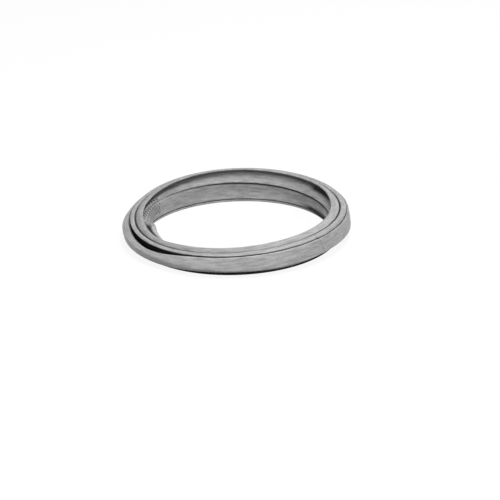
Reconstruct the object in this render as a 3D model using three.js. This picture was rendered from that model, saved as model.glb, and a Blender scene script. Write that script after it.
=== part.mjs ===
// Washing machine door seal: one moulded ring of soft rubber, open at top and bottom.
// Millimetres, +Z up. It stands on its tub ring, with the door lip on top.
// Azimuth 0 is +X (the right), 90 is +Y (the back), 180 is the left and 270 the front.
// A size that changes round the ring is given at those four azimuths.
// The seal is soft and leans: its top is high at the back right and low at the front left.

import * as THREE from "three";

// Whole ring
const STEPS_ROUND = 72;
const RUBBER_COLOUR = 0x9a9a9a;

// Lean of the upper rings, as heights added round the ring
const LEAN_TO_RIGHT = 3.4;
const LEAN_TO_BACK = 8.0;
const SADDLE = -1.8;
const TWIST = -1.9;

// Centres of the door lip and of the tub ring, measured from the centre of the skirt
const LIP_SHIFT_X = 1.4;
const LIP_SHIFT_Y = -3.4;
const TUB_SHIFT_X = -0.6;

// Tub ring: two ribs with a groove between them, on a flat seat
const OPENING_RADIUS = 151.6;
const SEAT_CHAMFER = 2.6;
const TUB_RING_WIDTH = 14.7;
const TUB_RIB_HEIGHT = 3.1;
const TUB_GROOVE_WIDTH = 1.4;
const TUB_GROOVE_DEPTH = 3.2;
const TUB_RING_REACH = 4.4;

// Inner wall: the tub lip, a deep fold line over it, then the wall with one more fold line
const TUB_LIP_HEIGHT = 3.5;
const TUB_FOLD_DEPTH = 4.1;
const TUB_FOLD_WIDTH = 1.6;
const WALL_LEDGE = 0.4;
const WALL_FOOT_RISE = 1.2;
const FOLD_STEP = 0.2;
const FOLD_HEIGHT = { right: 22.8, back: 32.8, left: 30.0, front: 26.0 };
const FOLD_DEPTH = { right: 4.6, back: 4.0, left: 0.5, front: 2.0 };
const FOLD_WIDTH = 3.0;
const UPPER_WALL_RUN = 10.6;

// Bulge: the wall's foot is pushed in at the left, in degrees and millimetres
const BULGE_AZIMUTH = 188;
const BULGE_HALF_WIDTH = 40;
const BULGE_REACH = 18.0;
const BULGE_RISE = 11.5;

// Skirt: the wide outer fold. Its heights are measured from the top of the tub ring.
const SHOULDER_REACH = 23.2;
const SKIRT_WALL = 3.6;
const SHOULDER_RISE = { right: 9.0, back: 7.0, left: 5.9, front: 2.8 };
const BELLY_RISE = { right: 13.4, back: 14.4, left: 18.4, front: 8.8 };
const BELLY_REACH = { right: 3.3, back: 7.0, left: 7.7, front: 2.7 };
const RIM_RISE = { right: 36.8, back: 32.2, left: 33.0, front: 35.3 };
const RIM_THICKNESS = { right: 2.6, back: 2.6, left: 2.0, front: 2.4 };
const WAIST_REACH = { right: 3.2, back: 3.0, left: 5.5, front: 4.2 };
const WAIST_RISE = { right: 6.5, back: 6.5, left: 2.6, front: 7.0 };

// Sag: the skirt's rim hangs low at the front left, in degrees and millimetres
const SAG_AZIMUTH = 214;
const SAG_HALF_WIDTH = 36;
const SAG_DEPTH = 9.0;

// Panel slot between the skirt and the bead
const SLOT_FLOOR_RISE = 17.4;
const SLOT_MOUTH = { right: 0.8, back: 3.8, left: 4.0, front: 1.3 };
const SLOT_UNDERCUT = 5.7;
const SLOT_FLOOR_WIDTH = 9.5;

// Neck, and the recess inside it
const NECK_THICKNESS = 4.3;
const NECK_HEIGHT = 15.6;
const RECESS_RISE = 1.4;

// Door lip: a conical band that falls outwards from its inner edge
const LIP_OVERHANG = { right: 10.6, back: 10.6, left: 7.2, front: 10.6 };
const LIP_FALL = 2.8;
const LIP_THICKNESS = 2.6;
const LIP_ROOT_THICKNESS = 6.2;

// Groove of the spring wire
const WIRE_GROOVE_OFFSET = 2.35;
const WIRE_GROOVE_WIDTH = 2.7;
const WIRE_GROOVE_DEPTH = 3.8;

// Rounded bead outside the groove
const BEAD_WIDTH = { right: 9.1, back: 9.1, left: 6.8, front: 9.1 };
const BEAD_RISE = { right: 6.9, back: 3.5, left: 5.6, front: 6.9 };
const BEAD_EDGE = 2.9;

// Radii that follow from these sizes, each about the centre of its own level
const SEAT_INNER_RADIUS = OPENING_RADIUS + SEAT_CHAMFER;
const TUB_RADIUS = OPENING_RADIUS + TUB_RING_WIDTH;
const HOLLOW_INNER_RADIUS = TUB_RADIUS - TUB_RING_REACH;
const SHOULDER_RADIUS = HOLLOW_INNER_RADIUS + SHOULDER_REACH;
const HOLLOW_OUTER_RADIUS = SHOULDER_RADIUS - SKIRT_WALL;
const FOLD_RADIUS = OPENING_RADIUS + FOLD_STEP;
const NECK_INNER_RADIUS = FOLD_RADIUS + UPPER_WALL_RUN;
const NECK_OUTER_RADIUS = NECK_INNER_RADIUS + NECK_THICKNESS;
const SLOT_FOOT_RADIUS = NECK_OUTER_RADIUS - SLOT_UNDERCUT;
const NECK_MIDDLE_RADIUS = NECK_INNER_RADIUS + NECK_THICKNESS / 2;
const GROOVE_INNER_RADIUS = NECK_MIDDLE_RADIUS + WIRE_GROOVE_OFFSET - WIRE_GROOVE_WIDTH / 2;
const GROOVE_OUTER_RADIUS = GROOVE_INNER_RADIUS + WIRE_GROOVE_WIDTH;

// Heights that follow from these sizes, before the lean
const TUB_RING_HEIGHT = 2 * TUB_RIB_HEIGHT + TUB_GROOVE_WIDTH;
const WALL_FOOT_HEIGHT = TUB_LIP_HEIGHT + TUB_FOLD_WIDTH + WALL_FOOT_RISE;
const SLOT_FLOOR_HEIGHT = TUB_RING_HEIGHT + SLOT_FLOOR_RISE;
const HOLLOW_HEIGHT = SLOT_FLOOR_HEIGHT - SKIRT_WALL;
const NECK_TOP_HEIGHT = SLOT_FLOOR_HEIGHT + NECK_HEIGHT;
const RECESS_HEIGHT = NECK_TOP_HEIGHT + RECESS_RISE;
const LIP_ROOT_HEIGHT = NECK_TOP_HEIGHT + LIP_ROOT_THICKNESS;
const LIP_HEIGHT = LIP_ROOT_HEIGHT + LIP_FALL;

/** A size that runs smoothly round the ring through its four given values. */
function around(size, angle) {
  const mean = (size.right + size.back + size.left + size.front) / 4;
  const acrossX = (size.right - size.left) / 2;
  const acrossY = (size.back - size.front) / 2;
  const oval = (size.right + size.left - size.back - size.front) / 4;
  return mean + acrossX * Math.cos(angle) + acrossY * Math.sin(angle) + oval * Math.cos(2 * angle);
}

/** Height that the lean adds at one azimuth. */
function lean(angle) {
  return (
    LEAN_TO_RIGHT * Math.cos(angle) +
    LEAN_TO_BACK * Math.sin(angle) +
    SADDLE * Math.cos(2 * angle) +
    TWIST * Math.sin(2 * angle)
  );
}

/** A swell that rises from 0 to 1 and falls again within a stretch of the ring. */
function swell(middle, halfWidth, angle) {
  const turn = ((angle * 180) / Math.PI - middle) / halfWidth;
  return Math.abs(turn) < 1 ? Math.cos((Math.PI / 2) * turn) ** 2 : 0;
}

// A level says where a part of the section is centred and how much of the lean it takes.
const LIP = { x: LIP_SHIFT_X, y: LIP_SHIFT_Y, lean: 1 };
const SKIRT = { x: 0, y: 0, lean: 0.85 };
const SHOULDER = { x: 0, y: 0, lean: 0 };
const TUB = { x: TUB_SHIFT_X, y: 0, lean: 0 };

/** The level that lies between two others. */
function between(from, to, share) {
  return {
    x: from.x + (to.x - from.x) * share,
    y: from.y + (to.y - from.y) * share,
    lean: from.lean + (to.lean - from.lean) * share,
  };
}

/** Door lip with the spring wire's groove: from its inner edge out to the bead. */
function lipPoints(angle) {
  const inner = NECK_INNER_RADIUS - around(LIP_OVERHANG, angle);
  const grooveFloor = LIP_ROOT_HEIGHT - WIRE_GROOVE_DEPTH;
  return [
    [LIP, inner + 0.4, LIP_HEIGHT - LIP_THICKNESS],
    [LIP, inner - 0.3, LIP_HEIGHT - 0.6 * LIP_THICKNESS],
    [LIP, inner - 0.1, LIP_HEIGHT - 0.2 * LIP_THICKNESS],
    [LIP, inner + 0.8, LIP_HEIGHT],
    [LIP, GROOVE_INNER_RADIUS - 0.6, LIP_ROOT_HEIGHT + 0.1],
    [LIP, GROOVE_INNER_RADIUS, LIP_ROOT_HEIGHT - 0.5],
    [LIP, GROOVE_INNER_RADIUS + 0.4, grooveFloor],
    [LIP, GROOVE_OUTER_RADIUS - 0.4, grooveFloor],
  ];
}

/** Rounded bead and the thin edge under it. */
function beadPoints(angle) {
  const top = NECK_TOP_HEIGHT + around(BEAD_RISE, angle);
  const width = around(BEAD_WIDTH, angle);
  return [
    [LIP, GROOVE_OUTER_RADIUS, top - 1.3],
    [LIP, GROOVE_OUTER_RADIUS + 0.22 * width, top - 0.2],
    [LIP, GROOVE_OUTER_RADIUS + 0.5 * width, top],
    [LIP, GROOVE_OUTER_RADIUS + 0.78 * width, top - 0.5],
    [LIP, GROOVE_OUTER_RADIUS + 0.95 * width, top - 0.4 * BEAD_EDGE],
    [LIP, GROOVE_OUTER_RADIUS + width, top - 0.65 * BEAD_EDGE],
    [LIP, GROOVE_OUTER_RADIUS + 0.96 * width, top - BEAD_EDGE],
  ];
}

/** Panel slot: its roof, the neck inside it and its floor. */
function slotPoints() {
  return [
    [LIP, NECK_OUTER_RADIUS + 3.2, NECK_TOP_HEIGHT + 1.7],
    [LIP, NECK_OUTER_RADIUS, NECK_TOP_HEIGHT],
    [between(LIP, SKIRT, 0.5), NECK_OUTER_RADIUS - 1.6, NECK_TOP_HEIGHT - 4.4],
    [SKIRT, SLOT_FOOT_RADIUS, SLOT_FLOOR_HEIGHT + 5.2],
    [SKIRT, SLOT_FOOT_RADIUS + 0.4, SLOT_FLOOR_HEIGHT + 1.8],
    [SKIRT, SLOT_FOOT_RADIUS + 3.4, SLOT_FLOOR_HEIGHT],
    [SKIRT, SLOT_FOOT_RADIUS + SLOT_FLOOR_WIDTH, SLOT_FLOOR_HEIGHT],
  ];
}

/** Radius of the rim's inner side, one slot mouth outside the bead. */
function rimInnerRadius(angle) {
  const beadRadius = GROOVE_OUTER_RADIUS + around(BEAD_WIDTH, angle);
  const beadReach = LIP.x * Math.cos(angle) + LIP.y * Math.sin(angle);
  return beadRadius + beadReach + around(SLOT_MOUTH, angle);
}

/** Height of the rim, which follows the lean and sags at the front left. */
function rimHeight(angle) {
  const sag = SAG_DEPTH * swell(SAG_AZIMUTH, SAG_HALF_WIDTH, angle);
  return TUB_RING_HEIGHT + around(RIM_RISE, angle) + SKIRT.lean * lean(angle) - sag;
}

/** Height of the shoulder, where the skirt's outer face turns under. */
function shoulderHeight(angle) {
  return TUB_RING_HEIGHT + around(SHOULDER_RISE, angle);
}

/** Inner face and rim of the skirt. */
function rimPoints(angle) {
  const inner = rimInnerRadius(angle);
  const thickness = around(RIM_THICKNESS, angle);
  const top = rimHeight(angle);
  return [
    [SKIRT, inner - around(WAIST_REACH, angle), SLOT_FLOOR_HEIGHT + around(WAIST_RISE, angle)],
    [SHOULDER, inner, top - 0.35 * thickness],
    [SHOULDER, inner + thickness / 2, top],
    [SHOULDER, inner + thickness, top - 0.35 * thickness],
  ];
}

/** Outer face of the skirt, as a smooth curve from its rim over the belly to the shoulder. */
function facePoints(angle) {
  const thickness = around(RIM_THICKNESS, angle);
  const rimRadius = rimInnerRadius(angle) + thickness;
  const edge = rimHeight(angle) - 0.35 * thickness;
  const shoulder = shoulderHeight(angle);
  const belly = TUB_RING_HEIGHT + around(BELLY_RISE, angle);
  const bellyRadius = rimRadius + around(BELLY_REACH, angle);
  const curve = new THREE.SplineCurve([
    new THREE.Vector2(rimRadius, edge),
    new THREE.Vector2(rimRadius + 0.67 * (bellyRadius - rimRadius), belly + 0.45 * (edge - belly)),
    new THREE.Vector2(bellyRadius, belly),
    new THREE.Vector2(bellyRadius - 0.23 * (bellyRadius - SHOULDER_RADIUS), (belly + shoulder) / 2),
    new THREE.Vector2(SHOULDER_RADIUS, shoulder),
  ]);
  return curve.getPoints(8).slice(1).map((point) => [SHOULDER, point.x, point.y]);
}

/** Lower edge of the skirt, then the hollow inside it, down to the tub ring. */
function hollowPoints(angle) {
  const edge = shoulderHeight(angle);
  const middle = (HOLLOW_INNER_RADIUS + HOLLOW_OUTER_RADIUS) / 2;
  const low = TUB_RING_HEIGHT + 1.6;
  return [
    [SHOULDER, SHOULDER_RADIUS - 0.45 * SKIRT_WALL, edge - 0.4 * SKIRT_WALL],
    [SHOULDER, HOLLOW_OUTER_RADIUS, edge - 0.1 * SKIRT_WALL],
    [between(SHOULDER, SKIRT, 0.5), HOLLOW_OUTER_RADIUS - 0.3, (edge + HOLLOW_HEIGHT) / 2],
    [SKIRT, HOLLOW_OUTER_RADIUS - 3.4, HOLLOW_HEIGHT - 0.6],
    [SKIRT, middle, HOLLOW_HEIGHT],
    [SKIRT, HOLLOW_INNER_RADIUS + 3.0, HOLLOW_HEIGHT],
    [SKIRT, HOLLOW_INNER_RADIUS + 0.7, HOLLOW_HEIGHT - 1.4],
    [between(SKIRT, TUB, 0.5), HOLLOW_INNER_RADIUS, (HOLLOW_HEIGHT + low) / 2],
    [TUB, HOLLOW_INNER_RADIUS, low],
    [TUB, HOLLOW_INNER_RADIUS + 1.0, TUB_RING_HEIGHT],
  ];
}

/** Tub ring with its two ribs, its groove and its flat seat. */
function tubPoints() {
  const grooveTop = TUB_RIB_HEIGHT + TUB_GROOVE_WIDTH;
  return [
    [TUB, TUB_RADIUS - 1.0, TUB_RING_HEIGHT - 0.2],
    [TUB, TUB_RADIUS, TUB_RING_HEIGHT - 1.1],
    [TUB, TUB_RADIUS - 0.2, grooveTop + 0.3],
    [TUB, TUB_RADIUS - TUB_GROOVE_DEPTH, grooveTop - 0.2],
    [TUB, TUB_RADIUS - TUB_GROOVE_DEPTH, TUB_RIB_HEIGHT + 0.2],
    [TUB, TUB_RADIUS - 0.3, TUB_RIB_HEIGHT - 0.3],
    [TUB, TUB_RADIUS, 1.0],
    [TUB, TUB_RADIUS - 0.7, 0],
    [TUB, SEAT_INNER_RADIUS, 0],
  ];
}

/** Tub lip and the fold line over it. */
function tubLipPoints() {
  const foldHeight = TUB_LIP_HEIGHT + TUB_FOLD_WIDTH / 2;
  return [
    [TUB, OPENING_RADIUS + 0.5, 0.9],
    [TUB, OPENING_RADIUS, 1.8],
    [TUB, OPENING_RADIUS, TUB_LIP_HEIGHT - 0.5],
    [TUB, OPENING_RADIUS + 0.4, TUB_LIP_HEIGHT],
    [TUB, OPENING_RADIUS + TUB_FOLD_DEPTH, foldHeight - 0.3],
    [TUB, OPENING_RADIUS + TUB_FOLD_DEPTH, foldHeight + 0.3],
    [TUB, OPENING_RADIUS + WALL_LEDGE + 0.5, TUB_LIP_HEIGHT + TUB_FOLD_WIDTH],
  ];
}

/** Wall with its bulge and its fold line, up to the recess under the door lip. */
function wallPoints(angle) {
  const bulge = swell(BULGE_AZIMUTH, BULGE_HALF_WIDTH, angle);
  const foot = OPENING_RADIUS + WALL_LEDGE - BULGE_REACH * bulge;
  const low = WALL_FOOT_HEIGHT + BULGE_RISE * bulge;
  const height = around(FOLD_HEIGHT, angle);
  const depth = around(FOLD_DEPTH, angle);
  const run = FOLD_RADIUS - foot;
  const rise = height - FOLD_WIDTH / 2 - low;
  const climb = RECESS_HEIGHT - height;
  return [
    [TUB, foot, low],
    [between(TUB, SHOULDER, 0.3), foot + 0.3 * run, low + 0.25 * rise],
    [between(TUB, SHOULDER, 0.7), foot + 0.7 * run, low + 0.65 * rise],
    [SHOULDER, FOLD_RADIUS - 0.2, height - FOLD_WIDTH / 2],
    [SHOULDER, FOLD_RADIUS + depth, height],
    [SHOULDER, FOLD_RADIUS + 0.6, height + FOLD_WIDTH / 2],
    [between(SHOULDER, LIP, 0.45), FOLD_RADIUS + 0.45 * UPPER_WALL_RUN, height + 0.4 * climb],
    [between(SHOULDER, LIP, 0.85), FOLD_RADIUS + 0.87 * UPPER_WALL_RUN, height + 0.75 * climb],
    [LIP, NECK_INNER_RADIUS, RECESS_HEIGHT - 1.4],
    [LIP, NECK_INNER_RADIUS - 0.7, RECESS_HEIGHT],
    [LIP, NECK_INNER_RADIUS - 3.8, RECESS_HEIGHT + 2.0],
  ];
}

/** The whole closed section at one azimuth, as points in space. */
function sectionAt(angle) {
  const rows = [
    ...lipPoints(angle),
    ...beadPoints(angle),
    ...slotPoints(),
    ...rimPoints(angle),
    ...facePoints(angle),
    ...hollowPoints(angle),
    ...tubPoints(),
    ...tubLipPoints(),
    ...wallPoints(angle),
  ];
  return rows.map(([level, radius, height]) => [
    level.x + radius * Math.cos(angle),
    level.y + radius * Math.sin(angle),
    height + level.lean * lean(angle),
  ]);
}

/** The closed ring: sections round the azimuths, joined face by face. */
function ringGeometry() {
  const sections = [];
  for (let step = 0; step < STEPS_ROUND; step += 1) {
    sections.push(sectionAt((2 * Math.PI * step) / STEPS_ROUND));
  }
  const count = sections[0].length;
  const indices = [];
  for (let step = 0; step < STEPS_ROUND; step += 1) {
    const here = step * count;
    const next = ((step + 1) % STEPS_ROUND) * count;
    for (let i = 0; i < count; i += 1) {
      const j = (i + 1) % count;
      indices.push(here + i, here + j, next + i);
      indices.push(next + i, here + j, next + j);
    }
  }
  const geometry = new THREE.BufferGeometry();
  geometry.setAttribute("position", new THREE.Float32BufferAttribute(sections.flat(2), 3));
  geometry.setIndex(indices);
  geometry.computeVertexNormals();
  geometry.computeBoundingBox();
  const middle = geometry.boundingBox.getCenter(new THREE.Vector3());
  geometry.translate(-middle.x, -middle.y, 0);
  return geometry;
}

const rubber = new THREE.MeshStandardMaterial({ color: RUBBER_COLOUR, roughness: 0.55, metalness: 0 });

const doorSeal = new THREE.Mesh(ringGeometry(), rubber);
doorSeal.name = "door_seal";

const part = new THREE.Group();
part.add(doorSeal);

export default part;
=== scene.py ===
import logging
import math
from dataclasses import dataclass, field
from enum import Enum

import bpy
import numpy as np
from mathutils import Matrix, Vector


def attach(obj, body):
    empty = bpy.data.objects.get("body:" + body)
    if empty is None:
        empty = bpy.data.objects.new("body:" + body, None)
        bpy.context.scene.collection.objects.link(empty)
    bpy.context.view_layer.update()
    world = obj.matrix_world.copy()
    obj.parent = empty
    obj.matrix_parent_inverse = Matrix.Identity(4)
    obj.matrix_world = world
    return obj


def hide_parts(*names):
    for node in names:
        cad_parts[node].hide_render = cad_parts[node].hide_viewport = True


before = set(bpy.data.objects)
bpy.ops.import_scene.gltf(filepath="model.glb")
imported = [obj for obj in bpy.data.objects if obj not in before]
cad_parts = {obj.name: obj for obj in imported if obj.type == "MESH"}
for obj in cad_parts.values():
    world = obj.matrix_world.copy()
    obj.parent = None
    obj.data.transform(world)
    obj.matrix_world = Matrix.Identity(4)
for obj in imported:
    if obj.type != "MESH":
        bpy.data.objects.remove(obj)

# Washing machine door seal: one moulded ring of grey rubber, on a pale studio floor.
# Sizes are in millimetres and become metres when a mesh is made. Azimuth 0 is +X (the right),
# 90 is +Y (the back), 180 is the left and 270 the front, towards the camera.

LOG = logging.getLogger("door_seal")
MILLIMETRE = 0.001

Array = np.ndarray


class Tone(Enum):
    """Greys of the scene, as linear values."""

    RUBBER_LIGHT = 0.44
    RUBBER_MIDDLE = 0.35
    RUBBER_DARK = 0.26
    FLOOR = 0.12
    WHITE = 1.0


@dataclass(frozen=True)
class Around:
    """A size or a shade that runs smoothly round the ring through its four given values."""

    right: float
    back: float
    left: float
    front: float

    def at(self, angle: Array) -> Array:
        """The size or shade at each azimuth.

        Args:
            angle: Azimuths in radians.

        Returns:
            One value for each azimuth.
        """
        mean = (self.right + self.back + self.left + self.front) / 4
        across_x = (self.right - self.left) / 2
        across_y = (self.back - self.front) / 2
        oval = (self.right + self.left - self.back - self.front) / 4
        return mean + across_x * np.cos(angle) + across_y * np.sin(angle) + oval * np.cos(2 * angle)

    def share(self, angle: Array) -> Array:
        """The value at each azimuth, kept from 0 to 1."""
        return np.clip(self.at(angle), 0, 1)


@dataclass(frozen=True)
class Window:
    """A stretch of the ring in which a size swells smoothly up and down again."""

    middle_degrees: float
    half_width_degrees: float

    def share(self, angle: Array) -> Array:
        """How much of the swell there is at each azimuth.

        Args:
            angle: Azimuths in radians.

        Returns:
            Shares from 0 to 1.
        """
        turn = (np.degrees(angle) - self.middle_degrees) / self.half_width_degrees
        return np.where(np.abs(turn) < 1, np.cos(np.pi / 2 * np.clip(turn, -1, 1)) ** 2, 0.0)


@dataclass(frozen=True)
class Lean:
    """How far the soft upper rings lean, as heights added round the ring."""

    to_right: float = 3.4
    to_back: float = 8.0
    saddle: float = -1.8
    twist: float = -1.9

    def at(self, angle: Array) -> Array:
        """Height that the lean adds at each azimuth.

        Args:
            angle: Azimuths in radians.

        Returns:
            One height for each azimuth, in millimetres.
        """
        first = self.to_right * np.cos(angle) + self.to_back * np.sin(angle)
        return first + self.saddle * np.cos(2 * angle) + self.twist * np.sin(2 * angle)


@dataclass(frozen=True)
class Level:
    """Where a part of the section is centred and how much of the lean it takes."""

    x: float
    y: float
    lean: float

    def towards(self, other: "Level", share: float) -> "Level":
        """The level that lies between this one and another.

        Args:
            other: The level at the far end.
            share: How far along it lies, from 0 to 1.

        Returns:
            The level in between.
        """
        return Level(
            self.x + (other.x - self.x) * share,
            self.y + (other.y - self.y) * share,
            self.lean + (other.lean - self.lean) * share,
        )


LIP = Level(1.4, -3.4, 1.0)
SKIRT = Level(0.0, 0.0, 0.85)
SHOULDER = Level(0.0, 0.0, 0.0)
TUB = Level(-0.6, 0.0, 0.0)

# Painted shade in the panel slot: black at the left, where it stands open, soft grey at the right.
SLOT_SHADE = Around(0.0, 1.1, 1.3, 0.3)
# Painted shade goes down to this; below 0 it is painted highlight.
LIGHTEST_SHADE = -0.5

# A row of the ring: its level, then its radius, height and painted shade at each azimuth.
Row = tuple[Level, Array, Array, Array]


@dataclass(frozen=True)
class TubRing:
    """Two ribs with a groove between them, on a flat seat."""

    opening_radius: float = 151.6
    seat_chamfer: float = 2.6
    width: float = 14.7
    rib_height: float = 3.1
    groove_width: float = 1.4
    groove_depth: float = 3.2
    reach: float = 4.4

    @property
    def height(self) -> float:
        """Top of the upper rib."""
        return 2 * self.rib_height + self.groove_width

    @property
    def radius(self) -> float:
        """Outer radius of the ribs."""
        return self.opening_radius + self.width

    @property
    def wall_radius(self) -> float:
        """Radius of the wall above the ribs."""
        return self.radius - self.reach

    def rows(self, angle: Array) -> list[Row]:
        """Outer side of the ring and its seat, from the top down.

        Args:
            angle: Azimuths in radians.

        Returns:
            The rows of this part of the section.
        """
        groove_top = self.rib_height + self.groove_width
        # Radius, height and painted shade, with small offsets that round the edges. The ring under the
        # skirt is painted in full shade.
        points = [
            (self.radius - 1.0, self.height - 0.2, 1.0),
            (self.radius, self.height - 1.1, 1.0),
            (self.radius - 0.2, groove_top + 0.3, 1.0),
            (self.radius - self.groove_depth, groove_top - 0.2, 1.0),
            (self.radius - self.groove_depth, self.rib_height + 0.2, 1.0),
            (self.radius - 0.3, self.rib_height - 0.3, 1.0),
            (self.radius, 1.0, 1.0),
            (self.radius - 0.7, 0.0, 1.0),
            (self.opening_radius + self.seat_chamfer, 0.0, 0.7),
        ]
        return [level_row(TUB, radius, height, angle, shade) for radius, height, shade in points]


@dataclass(frozen=True)
class InnerWall:
    """Tub lip, the deep fold line over it, and the wall with one more fold line."""

    lip_height: float = 3.5
    lip_fold_depth: float = 4.1
    lip_fold_width: float = 1.6
    ledge: float = 0.4
    fold_step: float = 0.2
    fold_height: Around = Around(22.8, 32.8, 30.0, 26.0)
    upper_run: float = 10.6
    fold_depth: Around = Around(4.6, 4.0, 0.5, 2.0)
    fold_width: float = 3.8
    fold_foot: float = 1.2
    recess_rise: float = 1.4
    bulge: Window = Window(192.0, 42.0)
    bulge_reach: float = 21.0
    bulge_rise: float = 14.0
    # Painted shade at the fold line, in the recess under the door lip and on the wall band below it.
    fold_shade: Around = Around(1.0, 1.0, -0.5, 0.5)
    recess_shade: Around = Around(1.0, 0.65, 0.9, 0.5)
    band_shade: Around = Around(0.2, 0.55, 0.8, 0.2)
    # The valley over the bulge: a step in the wall, painted in shade, with painted highlight on the strip
    # below it.
    valley: Window = Window(200.0, 27.0)
    valley_swell: float = 4.0
    valley_place: float = 0.34
    valley_dip: Window = Window(206.0, 24.0)
    valley_drop: float = 0.22
    valley_before: float = 0.08
    valley_after: float = 0.06
    valley_step: float = 2.0
    # Painted shade in the nook at the right, from the tub lip up to the recess.
    nook: Window = Window(24.0, 23.0)
    nook_swell: float = 2.2

    def fold_radius(self, tub: TubRing) -> float:
        """Radius of the upper fold line."""
        return tub.opening_radius + self.fold_step

    def neck_radius(self, tub: TubRing) -> float:
        """Radius of the recess at the top of the wall."""
        return self.fold_radius(tub) + self.upper_run

    def lip_rows(self, tub: TubRing, angle: Array) -> list[Row]:
        """Tub lip and the fold line over it, from the seat up.

        Args:
            tub: The ring that the lip stands on.
            angle: Azimuths in radians.

        Returns:
            The rows of this part of the section.
        """
        fold = self.lip_height + self.lip_fold_width / 2
        nook = self.nook.share(angle)
        deep = tub.opening_radius + self.lip_fold_depth
        # Radius, height and painted shade, with small offsets that round the edges. Shade is painted
        # on the lip, darker in the nook, and in full in the fold line over it.
        points = [
            (tub.opening_radius + 0.5, 0.9, 0.3),
            (tub.opening_radius, 1.8, 0.1 + 0.7 * nook),
            (tub.opening_radius, self.lip_height - 0.5, 0.1 + 0.8 * nook),
            (tub.opening_radius + 0.4, self.lip_height, 0.2 + 0.8 * nook),
            (deep, fold - 0.3, 1.0),
            (deep, fold + 0.3, 1.0),
            (tub.opening_radius + self.ledge + 0.5, self.lip_height + self.lip_fold_width, 0.3),
        ]
        return [level_row(TUB, radius, height, angle, shade) for radius, height, shade in points]

    def wall_rows(self, tub: TubRing, recess_height: float, angle: Array) -> list[Row]:
        """Wall and its fold line, up to the recess under the door lip.

        Args:
            tub: The ring at the foot of the wall.
            recess_height: Height of the recess.
            angle: Azimuths in radians.

        Returns:
            The rows of this part of the section.
        """
        share = 1 - (1 - self.bulge.share(angle)) ** 2
        foot = tub.opening_radius + self.ledge - self.bulge_reach * share
        low = self.lip_height + self.lip_fold_width + self.fold_foot + self.bulge_rise * share
        high = self.fold_height.at(angle)
        half = self.fold_width / 2
        fold = self.fold_radius(tub)
        run, rise = fold - foot, high - half - low
        upper, climb = self.upper_run, recess_height - high
        neck = self.neck_radius(tub)
        valley = np.minimum(self.valley_swell * self.valley.share(angle), 1)
        folded = self.fold_shade.share(angle)
        nook = np.minimum(self.nook_swell * self.nook.share(angle), 1)
        band = np.clip(self.band_shade.at(angle), nook, 1)
        recess = np.clip(self.recess_shade.at(angle), nook, 1)
        place = self.valley_place - self.valley_drop * self.valley_dip.share(angle)
        light, dark = place - self.valley_before, place + self.valley_after
        # Level, radius, height and painted shade: shade painted in the nook, the valley over the bulge,
        # the fold line, the wall above it and the recess under the door lip, and painted highlight on the
        # strip below the valley. The last three rows round the recess under the door lip.
        points = [
            (TUB, foot, low, nook),
            (TUB.towards(SHOULDER, 0.3), foot + light * run, low + light * rise, 0.6 * nook - 0.5 * valley),
            (
                TUB.towards(SHOULDER, 0.7),
                foot + dark * run + self.valley_step * valley,
                low + dark * rise - valley,
                valley,
            ),
            (SHOULDER, fold - 0.2, high - half, np.maximum(0.6 * valley, 0.5 * folded)),
            (SHOULDER, fold + self.fold_depth.at(angle), high, folded),
            (SHOULDER, fold + 0.6, high + half, 0.2),
            (SHOULDER.towards(LIP, 0.45), fold + 0.52 * upper, high + 0.48 * climb, 0.2),
            (SHOULDER.towards(LIP, 0.85), fold + 0.87 * upper, high + 0.66 * climb, band),
            (LIP, neck, recess_height - self.recess_rise, recess),
            (LIP, neck - 0.7, recess_height, recess),
            (LIP, neck - 3.8, recess_height + 2.0, recess),
        ]
        return [level_row(level, radius, height, angle, shade) for level, radius, height, shade in points]


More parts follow.
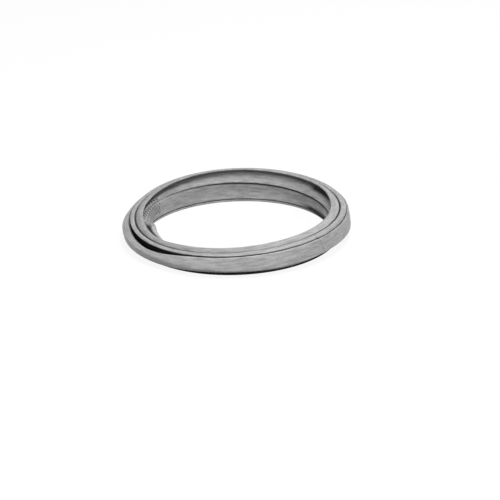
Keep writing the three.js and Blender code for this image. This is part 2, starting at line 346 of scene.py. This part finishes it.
@dataclass(frozen=True)
class DoorLip:
    """Conical lip with the spring wire's groove, and the rounded bead outside it.

    Two pulls draw the inner edge outwards: one at the left of the front, one at the back right.
    """

    overhang: Around = Around(10.0, 7.0, 8.0, 10.4)
    pull: Window = Window(216.0, 24.0)
    pull_depth: float = 3.5
    right_pull: Window = Window(34.0, 32.0)
    # Painted shade in the wire's groove and on the lip beside it, and a painted highlight along the bead.
    groove_shade: Around = Around(0.9, 0.6, 0.8, 1.0)
    edge_shade: Around = Around(0.0, 0.1, 0.4, 0.25)
    painted_glint: Around = Around(-0.1, 0.0, -0.15, -0.5)
    fall: float = 2.8
    thickness: float = 2.6
    root_thickness: float = 6.2
    groove_offset: float = 2.0
    groove_width: float = 2.7
    groove_depth: float = 3.8
    bead_width: Around = Around(9.1, 9.1, 6.8, 9.1)
    bead_rise: Around = Around(6.9, 3.5, 5.6, 6.9)
    bead_edge: Around = Around(5.5, 2.9, 2.9, 3.3)
    neck_thickness: float = 4.3

    def groove_outer(self, neck_radius: float) -> float:
        """Radius of the groove's outer wall."""
        return neck_radius + self.neck_thickness / 2 + self.groove_offset + self.groove_width / 2

    def bead_radius(self, neck_radius: float, angle: Array) -> Array:
        """Outer radius of the bead."""
        return self.groove_outer(neck_radius) + self.bead_width.at(angle)

    def rows(self, neck_radius: float, neck_top: float, angle: Array) -> list[Row]:
        """Lip, groove and bead, from the inner edge outwards.

        Args:
            neck_radius: Inner radius of the neck under the lip.
            neck_top: Height of the neck's top.
            angle: Azimuths in radians.

        Returns:
            The rows of this part of the section.
        """
        pull = self.pull.share(angle) + self.right_pull.share(angle)
        inner = neck_radius - self.overhang.at(angle) + self.pull_depth * pull
        edge = self.edge_shade.share(angle)
        deep = self.groove_shade.share(angle)
        glint = self.painted_glint.at(angle)
        outer = self.groove_outer(neck_radius)
        groove = outer - self.groove_width
        root = neck_top + self.root_thickness
        tip = root + self.fall
        floor = root - self.groove_depth
        top = neck_top + self.bead_rise.at(angle)
        width = self.bead_width.at(angle)
        drop = self.bead_edge.at(angle)
        # Radius, height and painted shade: four rows of the lip's edge, four of the groove, seven of the
        # bead.
        # Shade is painted under the lip's edge, in the groove and at the slot's mouth; below 0 it is
        # painted highlight.
        points = [
            (inner + 0.4, tip - self.thickness, 0.6),
            (inner - 0.3, tip - 0.6 * self.thickness, 0.0),
            (inner - 0.1, tip - 0.2 * self.thickness, 0.0),
            (inner + 0.8, tip, 0.0),
            (groove - 0.6, root + 0.1, edge),
            (groove, root - 0.5, edge + 0.2),
            (groove + 0.4, floor, deep),
            (outer - 0.4, floor, deep),
            (outer, top - 1.3, 0.0),
            (outer + 0.22 * width, top - 0.2, glint),
            (outer + 0.5 * width, top, 0.0),
            (outer + 0.78 * width, top - 0.5, 0.0),
            (outer + 0.95 * width, top - 0.4 * drop, 0.0),
            (outer + width, top - 0.65 * drop, 0.0),
            (outer + 0.96 * width, top - drop, 0.7 * SLOT_SHADE.share(angle)),
        ]
        return [level_row(LIP, radius, height, angle, shade) for radius, height, shade in points]


@dataclass(frozen=True)
class Skirt:
    """Wide outer fold with the panel slot above it and the undercut below it.

    The rim sags at the left of the front. The lower edge lifts along the front and at its right.
    """

    shoulder_reach: float = 23.2
    wall: float = 3.6
    shoulder_rise: Around = Around(9.0, 7.0, 5.9, 2.8)
    belly_rise: Around = Around(13.4, 14.4, 18.4, 8.8)
    belly_reach: Around = Around(3.3, 7.0, 7.7, 2.7)
    rim_rise: Around = Around(35.3, 32.2, 33.0, 35.3)
    sag: Window = Window(214.0, 36.0)
    sag_depth: float = 6.8
    rim_thickness: Around = Around(3.1, 4.4, 3.4, 2.4)
    waist_reach: Around = Around(3.2, 3.0, 5.5, 4.2)
    waist_rise: Around = Around(6.5, 6.5, 2.6, 7.0)
    slot_floor_rise: float = 17.4
    slot_mouth: Around = Around(0.3, 2.0, 2.6, 1.3)
    slot_undercut: float = 5.7
    slot_floor_width: float = 9.5
    neck_height: float = 15.6
    # Painted shade on the skirt's lower edge and its underside.
    under_shade: Around = Around(0.1, 0.8, 1.0, 1.3)
    lift: Window = Window(264.0, 46.0)
    right_lift: Window = Window(322.0, 38.0)
    lift_rise: float = 2.6
    face_steps: int = 8

    def shoulder_height(self, tub: TubRing, angle: Array) -> Array:
        """Height of the shoulder, where the outer face turns under."""
        lift = self.lift.share(angle) + self.right_lift.share(angle)
        return tub.height + self.shoulder_rise.at(angle) + self.lift_rise * lift

    def slot_floor(self, tub: TubRing) -> float:
        """Height of the slot's floor."""
        return tub.height + self.slot_floor_rise

    def neck_top(self, tub: TubRing) -> float:
        """Height of the neck's top."""
        return self.slot_floor(tub) + self.neck_height

    def slot_rows(self, tub: TubRing, neck_outer: float, angle: Array) -> list[Row]:
        """Slot's roof, the neck inside it and its floor.

        Args:
            tub: The tub ring.
            neck_outer: Outer radius of the neck.
            angle: Azimuths in radians.

        Returns:
            The rows of this part of the section.
        """
        floor = self.slot_floor(tub)
        top = self.neck_top(tub)
        foot = neck_outer - self.slot_undercut
        # Painted shade in the slot: on its roof as SLOT_SHADE gives it, in full on its floor.
        dark = SLOT_SHADE.share(angle)
        return [
            level_row(LIP, neck_outer + 3.2, top + 1.7, angle, dark),
            level_row(LIP, neck_outer, top, angle, dark),
            level_row(LIP.towards(SKIRT, 0.5), neck_outer - 1.6, top - 4.4, angle, dark),
            level_row(SKIRT, foot, floor + 5.2, angle, 1.0),
            level_row(SKIRT, foot + 0.4, floor + 1.8, angle, 1.0),
            level_row(SKIRT, foot + 3.4, floor, angle, 1.0),
            level_row(SKIRT, foot + self.slot_floor_width, floor, angle, 1.0),
        ]

    def face_rows(self, tub: TubRing, bead_radius: Array, lean: Lean, angle: Array) -> list[Row]:
        """Inner face, rim and outer face, down to the shoulder.

        Args:
            tub: The tub ring.
            bead_radius: Outer radius of the bead that the rim clears.
            lean: The lean that the rim follows and the shoulder doesn't.
            angle: Azimuths in radians.

        Returns:
            The rows of this part of the section.
        """
        shoulder = self.shoulder_height(tub, angle)
        shoulder_radius = tub.wall_radius + self.shoulder_reach
        thickness = self.rim_thickness.at(angle)
        inner = bead_radius + LIP.x * np.cos(angle) + LIP.y * np.sin(angle) + self.slot_mouth.at(angle)
        belly = tub.height + self.belly_rise.at(angle)
        top = tub.height + self.rim_rise.at(angle) + SKIRT.lean * lean.at(angle)
        top = top - self.sag_depth * self.sag.share(angle)
        floor = self.slot_floor(tub)
        rim = inner + thickness
        edge = top - 0.35 * thickness
        belly_radius = rim + self.belly_reach.at(angle)
        knots = [
            (rim, edge),
            (rim + 0.67 * (belly_radius - rim), belly + 0.45 * (edge - belly)),
            (belly_radius, belly),
            (belly_radius - 0.23 * (belly_radius - shoulder_radius), (belly + shoulder) / 2),
            (np.full_like(angle, shoulder_radius), shoulder),
        ]
        waist = floor + self.waist_rise.at(angle)
        # Painted shade on the rim's inner face at the slot's mouth.
        waist_shade = 0.8 * SLOT_SHADE.share(angle)
        rows = [
            level_row(SKIRT, inner - self.waist_reach.at(angle), waist, angle, waist_shade),
            level_row(SHOULDER, inner, edge, angle),
            level_row(SHOULDER, inner + thickness / 2, top, angle),
            level_row(SHOULDER, rim, edge, angle),
        ]
        for radius, height in spline_points(knots, self.face_steps)[1:-1]:
            rows.append(level_row(SHOULDER, radius, height, angle))
        # Painted shade where the outer face turns under.
        edge_shade = 0.5 * self.under_shade.share(angle)
        rows.append(level_row(SHOULDER, shoulder_radius, shoulder, angle, edge_shade))
        return rows

    def hollow_rows(self, tub: TubRing, angle: Array) -> list[Row]:
        """Lower edge of the skirt, then the hollow inside it, down to the tub ring.

        Args:
            tub: The tub ring.
            angle: Azimuths in radians.

        Returns:
            The rows of this part of the section.
        """
        edge = self.shoulder_height(tub, angle)
        shoulder = tub.wall_radius + self.shoulder_reach
        outer = shoulder - self.wall
        inner = tub.wall_radius
        top = self.slot_floor(tub) - self.wall
        low = tub.height + 1.6
        under = self.under_shade.share(angle)
        # Painted shade under the skirt's edge, and in full inside the hollow.
        return [
            level_row(SHOULDER, shoulder - 0.45 * self.wall, edge - 0.2 * self.wall, angle, under),
            level_row(SHOULDER, outer, edge - 0.1 * self.wall, angle, 1.0),
            level_row(SHOULDER.towards(SKIRT, 0.5), outer - 0.3, (edge + top) / 2, angle, 1.0),
            level_row(SKIRT, outer - 3.4, top - 0.6, angle, 1.0),
            level_row(SKIRT, (inner + outer) / 2, top, angle, 1.0),
            level_row(SKIRT, inner + 3.0, top, angle, 1.0),
            level_row(SKIRT, inner + 0.7, top - 1.4, angle, 1.0),
            level_row(SKIRT.towards(TUB, 0.5), inner, (top + low) / 2, angle, 1.0),
            level_row(TUB, inner, low, angle, 1.0),
            level_row(TUB, inner + 1.0, tub.height, angle, 1.0),
        ]


def level_row(
    level: Level,
    radius: Array | float,
    height: Array | float,
    angle: Array,
    shade: Array | float = 0.0,
) -> Row:
    """One row of the ring: a point of the section at every azimuth.

    Args:
        level: Where the row is centred and how much it leans.
        radius: Radius about the level's centre.
        height: Height before the lean.
        angle: Azimuths in radians.
        shade: Painted shade there, from 0 on open faces to 1 deep in a fold. Below 0 it is painted
            highlight.

    Returns:
        The level with its radii, heights and painted shades, one of each for each azimuth.
    """
    radius, height, shade = (np.broadcast_to(value, angle.shape) for value in (radius, height, shade))
    return level, radius, height, shade


def spline_points(knots: list[tuple[Array, Array]], pieces: int) -> list[tuple[Array, Array]]:
    """Points on a smooth curve through some knots.

    Args:
        knots: Radii and heights of the knots.
        pieces: Number of equal steps along the curve.

    Returns:
        Radii and heights of the points, both ends included.
    """
    points = []
    last = len(knots) - 1
    for step in range(pieces + 1):
        place = last * step / pieces
        index = min(int(place), last - 1)
        share = place - index
        near = [knots[max(index - 1, 0)], knots[index], knots[index + 1], knots[min(index + 2, last)]]
        points.append(tuple(smooth_step([knot[axis] for knot in near], share) for axis in (0, 1)))
    return points


def smooth_step(values: list[Array], share: float) -> Array:
    """Value between the second and third of four neighbours, on a smooth curve.

    Args:
        values: Four neighbouring values.
        share: Place between the second and the third, from 0 to 1.

    Returns:
        The value there.
    """
    before, start, end, after = values
    slope_in = (end - before) * 0.5
    slope_out = (after - start) * 0.5
    cubic = 2 * start - 2 * end + slope_in + slope_out
    square = -3 * start + 3 * end - 2 * slope_in - slope_out
    return ((cubic * share + square) * share + slope_in) * share + start


@dataclass(frozen=True)
class NubPatch:
    """Small moulded dimples on the funnel at the left, in staggered rows."""

    middle_degrees: float = 160.0
    half_width_degrees: float = 14.0
    pitch: float = 7.6
    row_pitch: float = 4.2
    radius: float = 2.0
    depth: float = 1.0
    stretch: float = 0.6
    steepness: float = 1.4
    low: float = 12.0
    high: float = 38.0
    outermost: float = 160.0
    # Painted shade in the dimples, at their deepest.
    shade: float = 0.8

    def dents(self, along: Array, height: Array) -> Array:
        """Depth of the dimples.

        Args:
            along: Distance along the ring from the middle of the patch.
            height: Height over the seat.

        Returns:
            Depth at each place, in millimetres.
        """
        row = np.round(height / self.row_pitch)
        shift = 0.5 * self.pitch * np.mod(row, 2)
        across = along - shift - self.pitch * np.round((along - shift) / self.pitch)
        up = height - row * self.row_pitch
        distance = np.hypot(self.stretch * across, up)
        return self.depth * np.clip(self.steepness * (1 - distance / self.radius), 0, 1)


@dataclass(frozen=True)
class SkirtCrease:
    """Shallow crease that runs down the skirt at the right of its front."""

    top_degrees: float = 314.3
    foot_degrees: float = 317.8
    width: float = 2.0
    depth: float = 0.9
    # Painted shade in the crease, at its deepest.
    shade: float = 0.22
    top_height: float = 44.0
    fall: float = 28.0
    innermost: float = 176.0
    least_facing: float = 0.1
    skirt_radius: float = 187.5

    def dent(self, degrees: Array, share_down: Array) -> Array:
        """Depth of the crease.

        Args:
            degrees: Azimuth of each place.
            share_down: How far down the skirt it is, from 0 at the rim to 1 at the shoulder.

        Returns:
            Depth at each place, in millimetres.
        """
        line = self.top_degrees + (self.foot_degrees - self.top_degrees) * share_down
        across = (degrees - line) * math.radians(1) * self.skirt_radius
        return self.depth * np.exp(-((across / self.width) ** 2))


class NodeMath(Enum):
    """What a math node of a material works out."""

    TIMES = "MULTIPLY"
    TIMES_PLUS = "MULTIPLY_ADD"
    LARGER = "MAXIMUM"
    TURN = "ARCTAN2"


Feed = float | tuple[float, ...] | bpy.types.NodeSocket


@dataclass(frozen=True)
class Wiring:
    """Node tree of a material or of the world, with short ways to add to it."""

    tree: bpy.types.NodeTree

    def fill(self, node: bpy.types.Node, feeds: dict[str | int, Feed]) -> None:
        """Gives inputs of a node their values.

        Args:
            node: The node.
            feeds: A plain value or another node's output for each named or numbered input.
        """
        for name, value in feeds.items():
            if isinstance(value, bpy.types.NodeSocket):
                self.tree.links.new(value, node.inputs[name])
            else:
                node.inputs[name].default_value = value

    def node(self, kind: str, feeds: dict[str | int, Feed] | None = None) -> bpy.types.Node:
        """Adds a node.

        Args:
            kind: Type of the node.
            feeds: Values for its inputs.

        Returns:
            The new node.
        """
        made = self.tree.nodes.new(kind)
        self.fill(made, feeds or {})
        return made

    def work_out(self, kind: NodeMath, *values: Feed) -> bpy.types.NodeSocket:
        """Adds a math node.

        Args:
            kind: What it works out.
            *values: What it takes, in order.

        Returns:
            Its output.
        """
        made = self.node("ShaderNodeMath")
        made.operation = kind.value
        self.fill(made, dict(enumerate(values)))
        return made.outputs[0]

    def noise(self, place: bpy.types.NodeSocket, scale: float, detail: float) -> bpy.types.NodeSocket:
        """Adds a noise texture.

        Args:
            place: Where each point lies in the noise.
            scale: Scale of the noise.
            detail: Detail of the noise.

        Returns:
            Its level, from 0 to 1.
        """
        feeds = {"Vector": place, "Scale": scale, "Detail": detail}
        return self.node("ShaderNodeTexNoise", feeds).outputs["Fac"]


@dataclass(frozen=True)
class RubberFinish:
    """Matt grey moulded rubber with a fine grain and faint streaks round the ring.

    The grain's height is in metres. Painted shade darkens deep folds and hollows, by at most the painted
    shade strength, and cuts their shine.
    """

    name: str = "grey_rubber"
    smoothest: float = 0.34
    roughest: float = 0.52
    shine: float = 0.4
    # Most that the painted shade darkens the colour.
    painted_shade_strength: float = 0.93
    streak_scale: float = 320.0
    streak_detail: float = 5.0
    streak_turn: float = 0.025
    streak_share: float = 0.7
    cloud_scale: float = 420.0
    cloud_detail: float = 4.0
    cloud_share: float = 0.3
    dark_at: float = 0.37
    middle_at: float = 0.5
    light_at: float = 0.63
    grain: float = 0.3
    grain_scale: float = 900.0
    grain_detail: float = 3.0
    grain_height: float = 0.0006

    def material(self) -> bpy.types.Material:
        """The finish as a material.

        Returns:
            The new material.
        """
        made = bpy.data.materials.new(self.name)
        made.use_nodes = True
        wiring = Wiring(made.node_tree)
        place = wiring.node("ShaderNodeTexCoord").outputs["Object"]
        cloud = wiring.noise(place, self.cloud_scale, self.cloud_detail)
        streaks = self.streaks(wiring, place)
        faint_cloud = wiring.work_out(NodeMath.TIMES, cloud, self.cloud_share)
        mixed = wiring.work_out(NodeMath.TIMES_PLUS, streaks, self.streak_share, faint_cloud)
        # Painted shade from the fold_shade attribute darkens the colour and cuts the shine in folds and
        # hollows; below 0 it is painted highlight.
        fold = wiring.node("ShaderNodeAttribute")
        fold.attribute_name = "fold_shade"
        open_level = wiring.work_out(NodeMath.TIMES_PLUS, fold.outputs["Fac"], -self.painted_shade_strength, 1.0)
        darkened = wiring.node("ShaderNodeVectorMath")
        darkened.operation = "SCALE"
        wiring.fill(darkened, {0: self.open_colour(wiring, mixed), "Scale": open_level})
        shine = wiring.work_out(NodeMath.TIMES, open_level, self.shine)
        shine.node.use_clamp = True
        rough = wiring.node("ShaderNodeMapRange", {"Value": cloud})
        wiring.fill(rough, {"To Min": self.smoothest, "To Max": self.roughest})
        feeds = {
            "Base Color": darkened.outputs[0],
            "Specular IOR Level": shine,
            "Roughness": rough.outputs["Result"],
            "Normal": self.grain_bump(wiring, place),
        }
        wiring.fill(made.node_tree.nodes["Principled BSDF"], feeds)
        return made

    def open_colour(self, wiring: Wiring, level: bpy.types.NodeSocket) -> bpy.types.NodeSocket:
        """Colour of the open rubber, through its three greys.

        Args:
            wiring: The material's wiring.
            level: The mixed noise that picks the grey.

        Returns:
            The colour.
        """
        ramp = wiring.node("ShaderNodeValToRGB", {"Fac": level})
        stops = ramp.color_ramp.elements
        stops[0].position = self.dark_at
        stops[0].color = grey(Tone.RUBBER_DARK)
        stops[1].position = self.light_at
        stops[1].color = grey(Tone.RUBBER_LIGHT)
        stops.new(self.middle_at).color = grey(Tone.RUBBER_MIDDLE)
        return ramp.outputs["Color"]

    def streaks(self, wiring: Wiring, place: bpy.types.NodeSocket) -> bpy.types.NodeSocket:
        """Noise drawn out round the ring.

        Args:
            wiring: The material's wiring.
            place: Where each point lies on the object.

        Returns:
            Its level, from 0 to 1.
        """
        parts = wiring.node("ShaderNodeSeparateXYZ", {0: place}).outputs
        turn = wiring.work_out(NodeMath.TURN, parts["Y"], parts["X"])
        flat = wiring.node("ShaderNodeCombineXYZ", {"X": parts["X"], "Y": parts["Y"]})
        reach = wiring.node("ShaderNodeVectorMath")
        reach.operation = "LENGTH"
        wiring.fill(reach, {0: flat.outputs[0]})
        slow_turn = wiring.work_out(NodeMath.TIMES, turn, self.streak_turn)
        feeds = {"X": slow_turn, "Y": reach.outputs["Value"], "Z": parts["Z"]}
        drawn_out = wiring.node("ShaderNodeCombineXYZ", feeds)
        return wiring.noise(drawn_out.outputs[0], self.streak_scale, self.streak_detail)

    def grain_bump(self, wiring: Wiring, place: bpy.types.NodeSocket) -> bpy.types.NodeSocket:
        """Fine grain of the moulded skin, as bump.

        Args:
            wiring: The material's wiring.
            place: Where each point lies on the object.

        Returns:
            The normal with the grain in it.
        """
        fine = wiring.noise(place, self.grain_scale, self.grain_detail)
        feeds = {"Strength": self.grain, "Distance": self.grain_height, "Height": fine}
        return wiring.node("ShaderNodeBump", feeds).outputs["Normal"]


def grey(tone: Tone) -> tuple[float, float, float, float]:
    """A neutral colour of one tone."""
    return (tone.value, tone.value, tone.value, 1.0)


@dataclass(frozen=True)
class DoorSeal:
    """The whole moulded ring, built as one closed mesh.

    The steps between sections are in degrees. The last rows of a section, which are the funnel's
    wall, get their points closer together than the others.
    """

    tub: TubRing = field(default_factory=TubRing)
    wall: InnerWall = field(default_factory=InnerWall)
    skirt: Skirt = field(default_factory=Skirt)
    lip: DoorLip = field(default_factory=DoorLip)
    lean: Lean = field(default_factory=Lean)
    nubs: NubPatch = field(default_factory=NubPatch)
    crease: SkirtCrease = field(default_factory=SkirtCrease)
    finish: RubberFinish = field(default_factory=RubberFinish)
    name: str = "door_seal_skin"
    coarse_step: float = 1.2
    fine_step: float = 0.45
    nub_margin: float = 2.0
    crease_margin: float = 8.0
    spacing: float = 1.9
    wall_spacing: float = 1.0
    wall_row_count: int = 11
    slope_reach: float = 1.5

    def azimuths(self) -> Array:
        """Azimuths of the sections, closer together at the dimples and the crease.

        Returns:
            Azimuths in degrees, in rising order.
        """
        nub_reach = self.nubs.half_width_degrees + self.nub_margin
        places = [0.0]
        while places[-1] < 360:
            here = places[-1]
            at_nubs = abs(here - self.nubs.middle_degrees) < nub_reach
            at_crease = abs(here - self.crease.foot_degrees) < self.crease_margin
            places.append(here + (self.fine_step if at_nubs or at_crease else self.coarse_step))
        return np.array(places[:-1]) * 360 / places[-1]

    def section_rows(self, angle: Array) -> list[Row]:
        """All rows of the closed section, in order.

        Args:
            angle: Azimuths in radians.

        Returns:
            The rows, from the door lip outwards, down and back up the inside.
        """
        neck = self.wall.neck_radius(self.tub)
        top = self.skirt.neck_top(self.tub)
        return [
            *self.lip.rows(neck, top, angle),
            *self.skirt.slot_rows(self.tub, neck + self.lip.neck_thickness, angle),
            *self.skirt.face_rows(self.tub, self.lip.bead_radius(neck, angle), self.lean, angle),
            *self.skirt.hollow_rows(self.tub, angle),
            *self.tub.rows(angle),
            *self.wall.lip_rows(self.tub, angle),
            *self.wall.wall_rows(self.tub, top + self.wall.recess_rise, angle),
        ]

    def points(self, degrees: Array) -> Array:
        """Points of the ring, refined along a smooth curve through each section.

        Args:
            degrees: Azimuths of the sections.

        Returns:
            For each section and each place along it: x, y and z in millimetres, and the painted shade.
        """
        angle = np.radians(degrees)
        rows = []
        for level, radius, height, shade in self.section_rows(angle):
            x = level.x + radius * np.cos(angle)
            y = level.y + radius * np.sin(angle)
            z = height + level.lean * self.lean.at(angle)
            rows.append(np.stack([x, y, z, shade], axis=1))
        made = self.refine(np.stack(rows, axis=1))
        made[..., 2] = np.maximum(made[..., 2], 0)
        made[..., 3] = np.clip(made[..., 3], LIGHTEST_SHADE, 1)
        return made

    def refine(self, coarse: Array) -> Array:
        """Adds points between the rows of the section, on smooth curves that don't overshoot.

        Args:
            coarse: Points at the rows, with their shade.

        Returns:
            Points at the rows and between them, with their shade.
        """
        count = coarse.shape[1]
        ahead = np.roll(coarse, -1, axis=1)
        lengths = np.maximum(np.linalg.norm((ahead - coarse)[..., :3], axis=2, keepdims=True), 1e-6)
        spans = lengths.max(axis=0)
        made = []
        for index in range(count):
            before, start, end, after = (coarse[:, (index + shift) % count] for shift in (-1, 0, 1, 2))
            span_in, span, span_out = (lengths[:, (index + shift) % count] for shift in (-1, 0, 1))
            slope_in = tangent(start - before, end - start, span_in, span)
            slope_in = slope_in * np.minimum(span, self.slope_reach * span_in)
            slope_out = tangent(end - start, after - end, span, span_out)
            slope_out = slope_out * np.minimum(span, self.slope_reach * span_out)
            on_wall = index >= count - self.wall_row_count
            spacing = self.wall_spacing if on_wall else self.spacing
            pieces = max(2, int(round(spans[index, 0] / spacing)))
            for step in range(pieces):
                share = step / pieces
                made.append(hermite(start, end, slope_in, slope_out, share))
        return np.stack(made, axis=1)

    def dented(self, degrees: Array, points: Array, shade: Array) -> tuple[Array, Array]:
        """Presses the dimples and the crease into the surface, and paints shade into them.

        Args:
            degrees: Azimuths of the sections.
            points: Points of the ring.
            shade: Painted shade of each point.

        Returns:
            The points with the small forms pressed in, and their painted shade.
        """
        along = np.roll(points, -1, axis=1) - np.roll(points, 1, axis=1)
        inward = np.cross(np.gradient(points, axis=0), along)
        inward /= np.maximum(np.linalg.norm(inward, axis=2, keepdims=True), 1e-9)
        radius = np.linalg.norm(points[..., :2], axis=2)
        height = points[..., 2]
        turn = np.broadcast_to(degrees[:, None], radius.shape)

        patch = self.nubs
        inside = np.abs(turn - patch.middle_degrees) < patch.half_width_degrees
        inside &= (radius < patch.outermost) & (height > patch.low) & (height < patch.high)
        reach = np.radians(turn - patch.middle_degrees) * radius
        depth = np.where(inside, patch.dents(reach, height), 0.0)
        # Painted shade in the dimples and, below, in the crease.
        darker = shade + patch.shade * depth / patch.depth

        crease = self.crease
        facing = -(inward[..., :2] * points[..., :2]).sum(axis=2) / radius
        on_face = (radius > crease.innermost) & (facing > crease.least_facing)
        share_down = np.clip((crease.top_height - height) / crease.fall, 0, 1)
        dent = np.where(on_face, crease.dent(turn, share_down), 0.0)
        darker = np.minimum(darker + crease.shade * dent / crease.depth, 1)
        return points + inward * (depth + dent)[..., None], darker

    def mesh(self, points: Array, shade: Array) -> bpy.types.Mesh:
        """Makes a closed mesh that joins each section to the next one.

        Args:
            points: Points of the ring in millimetres.
            shade: Painted shade of each point.

        Returns:
            The new mesh, in metres.
        """
        sections, count = points.shape[:2]
        index = np.arange(sections * count).reshape(sections, count)
        ahead = np.roll(index, -1, axis=0)
        corners = [index, np.roll(index, -1, axis=1), np.roll(ahead, -1, axis=1), ahead]
        faces = np.stack(corners, axis=-1).reshape(-1, 4)
        mesh = bpy.data.meshes.new(self.name)
        mesh.from_pydata((points.reshape(-1, 3) * MILLIMETRE).tolist(), [], faces.tolist())
        mesh.validate()
        # The painted shade and painted highlight go to the material as the fold_shade attribute.
        mesh.attributes.new("fold_shade", "FLOAT", "POINT").data.foreach_set("value", shade.ravel())
        mesh.polygons.foreach_set("use_smooth", np.ones(len(mesh.polygons), dtype=bool))
        mesh.materials.append(self.finish.material())
        return mesh

    def build(self) -> bpy.types.Object:
        """Makes the ring, centred on the frame's vertical axis.

        Returns:
            The new object, which rides on the root body.
        """
        degrees = self.azimuths()
        shaded = self.points(degrees)
        smooth = shaded[..., :3]
        middle = (smooth.min(axis=(0, 1)) + smooth.max(axis=(0, 1))) / 2
        points, shade = self.dented(degrees, smooth, shaded[..., 3])
        points[..., :2] -= middle[:2]
        piece = bpy.data.objects.new(self.name, self.mesh(points, shade))
        bpy.context.scene.collection.objects.link(piece)
        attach(piece, "root")
        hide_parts("door_seal")
        LOG.info("%s: %d sections of %d points", self.name, *points.shape[:2])
        return piece


def tangent(step_in: Array, step_out: Array, span_in: Array, span_out: Array) -> Array:
    """Slope of a smooth curve at a point, from the steps on both sides.

    Args:
        step_in: Step that arrives at the point.
        step_out: Step that leaves it.
        span_in: Length of the step that arrives.
        span_out: Length of the step that leaves.

    Returns:
        The slope for each unit of length.
    """
    return (step_in / span_in * span_out + step_out / span_out * span_in) / (span_in + span_out)


def hermite(start: Array, end: Array, slope_in: Array, slope_out: Array, share: float) -> Array:
    """Point on a cubic curve between two points with given slopes.

    Args:
        start: First point.
        end: Last point.
        slope_in: Slope at the first point.
        slope_out: Slope at the last point.
        share: Place along the curve, from 0 to 1.

    Returns:
        The point there.
    """
    square, cube = share * share, share * share * share
    return (
        (2 * cube - 3 * square + 1) * start
        + (cube - 2 * square + share) * slope_in
        + (3 * square - 2 * cube) * end
        + (cube - square) * slope_out
    )


def seen_directly(wiring: Wiring, other: float, direct: float) -> bpy.types.NodeSocket:
    """A strength that differs for what is seen directly, in a reflection or through glass.

    Args:
        wiring: Wiring of the material or the world.
        other: Strength for the light that falls on the object.
        direct: Strength for what is seen.

    Returns:
        The socket that gives the strength.
    """
    rays = wiring.node("ShaderNodeLightPath").outputs
    either = wiring.work_out(NodeMath.LARGER, rays["Is Camera Ray"], rays["Is Transmission Ray"])
    seen = wiring.work_out(NodeMath.LARGER, either, rays["Is Glossy Ray"])
    feeds = {"Value": seen, "To Min": other, "To Max": direct}
    return wiring.node("ShaderNodeMapRange", feeds).outputs["Result"]


@dataclass(frozen=True)
class Lamp:
    """One soft square lamp that faces the seal, with its sizes in metres and power in watts."""

    name: str
    place: tuple[float, float, float]
    size: float
    power: float

    def build(self) -> None:
        """Makes the lamp."""
        light = bpy.data.lights.new(self.name, "AREA")
        light.size = self.size
        light.energy = self.power
        lamp = bpy.data.objects.new(self.name, light)
        lamp.location = self.place
        lamp.rotation_euler = (-Vector(self.place)).to_track_quat("-Z", "Y").to_euler()
        bpy.context.scene.collection.objects.link(lamp)


@dataclass(frozen=True)
class Studio:
    """Pale floor, soft lamps and the camera, with all sizes in metres."""

    distance: float = 4.075
    elevation_degrees: float = 21.7
    lens: float = 180.0
    shift_x: float = 0.0273
    shift_y: float = -0.0602
    aim_height: float = 0.0274
    roll_degrees: float = 2.2
    view_depth: float = 100.0
    floor_size: float = 30.0
    floor_drop: float = 0.0002
    floor_glow: float = 0.9
    world_level: float = 0.35
    lamps: tuple[Lamp, ...] = (
        Lamp("top_lamp", (0.3, -1.2, 2.5), 0.4, 36.0),
        Lamp("left_lamp", (-1.8, -1.2, 0.9), 0.8, 13.0),
        Lamp("right_lamp", (1.3, -1.9, 0.8), 0.5, 26.0),
        Lamp("back_lamp", (0.8, 1.4, 1.9), 0.5, 7.0),
    )

    def floor(self) -> None:
        """Pale floor that keeps a soft shadow of the seal."""
        bpy.ops.mesh.primitive_plane_add(size=self.floor_size, location=(0, 0, -self.floor_drop))
        floor = bpy.context.object
        floor.name = "studio_floor"
        made = bpy.data.materials.new("studio_floor")
        made.use_nodes = True
        made.node_tree.nodes.clear()
        wiring = Wiring(made.node_tree)
        matt = wiring.node("ShaderNodeBsdfDiffuse", {"Color": grey(Tone.FLOOR)})
        strength = seen_directly(wiring, 0.0, self.floor_glow)
        glow = wiring.node("ShaderNodeEmission", {"Strength": strength})
        both = wiring.node("ShaderNodeAddShader", {0: matt.outputs[0], 1: glow.outputs[0]})
        wiring.node("ShaderNodeOutputMaterial", {"Surface": both.outputs[0]})
        floor.data.materials.append(made)

    def world(self) -> None:
        """Even light from all round, seen as white."""
        world = bpy.data.worlds.new("studio_world")
        bpy.context.scene.world = world
        world.use_nodes = True
        wiring = Wiring(world.node_tree)
        feeds = {"Color": grey(Tone.WHITE), "Strength": seen_directly(wiring, self.world_level, 1.0)}
        wiring.fill(world.node_tree.nodes["Background"], feeds)

    def camera(self) -> None:
        """Long-lens camera above the front of the seal."""
        view = bpy.data.cameras.new("studio_camera")
        view.lens = self.lens
        view.shift_x = self.shift_x
        view.shift_y = self.shift_y
        view.clip_end = self.view_depth
        camera = bpy.data.objects.new("studio_camera", view)
        rise = math.radians(self.elevation_degrees)
        back = Vector((0, -math.cos(rise), math.sin(rise)))
        camera.location = Vector((0, 0, self.aim_height)) + back * self.distance
        roll = Matrix.Rotation(-math.radians(self.roll_degrees), 3, "Z")
        turn = (-back).to_track_quat("-Z", "Y").to_matrix() @ roll
        camera.rotation_euler = turn.to_euler()
        bpy.context.scene.collection.objects.link(camera)
        bpy.context.scene.camera = camera

    def build(self) -> None:
        """Makes the floor, the lamps and the camera."""
        self.floor()
        self.world()
        for lamp in self.lamps:
            lamp.build()
        self.camera()
        bpy.context.scene.view_settings.view_transform = "Standard"
        LOG.info("studio: floor, %d lamps and camera", len(self.lamps))


def main() -> None:
    """Builds the seal and the studio."""
    logging.basicConfig(level=logging.INFO)
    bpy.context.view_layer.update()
    DoorSeal().build()
    Studio().build()


if __name__ == "__main__":
    main()
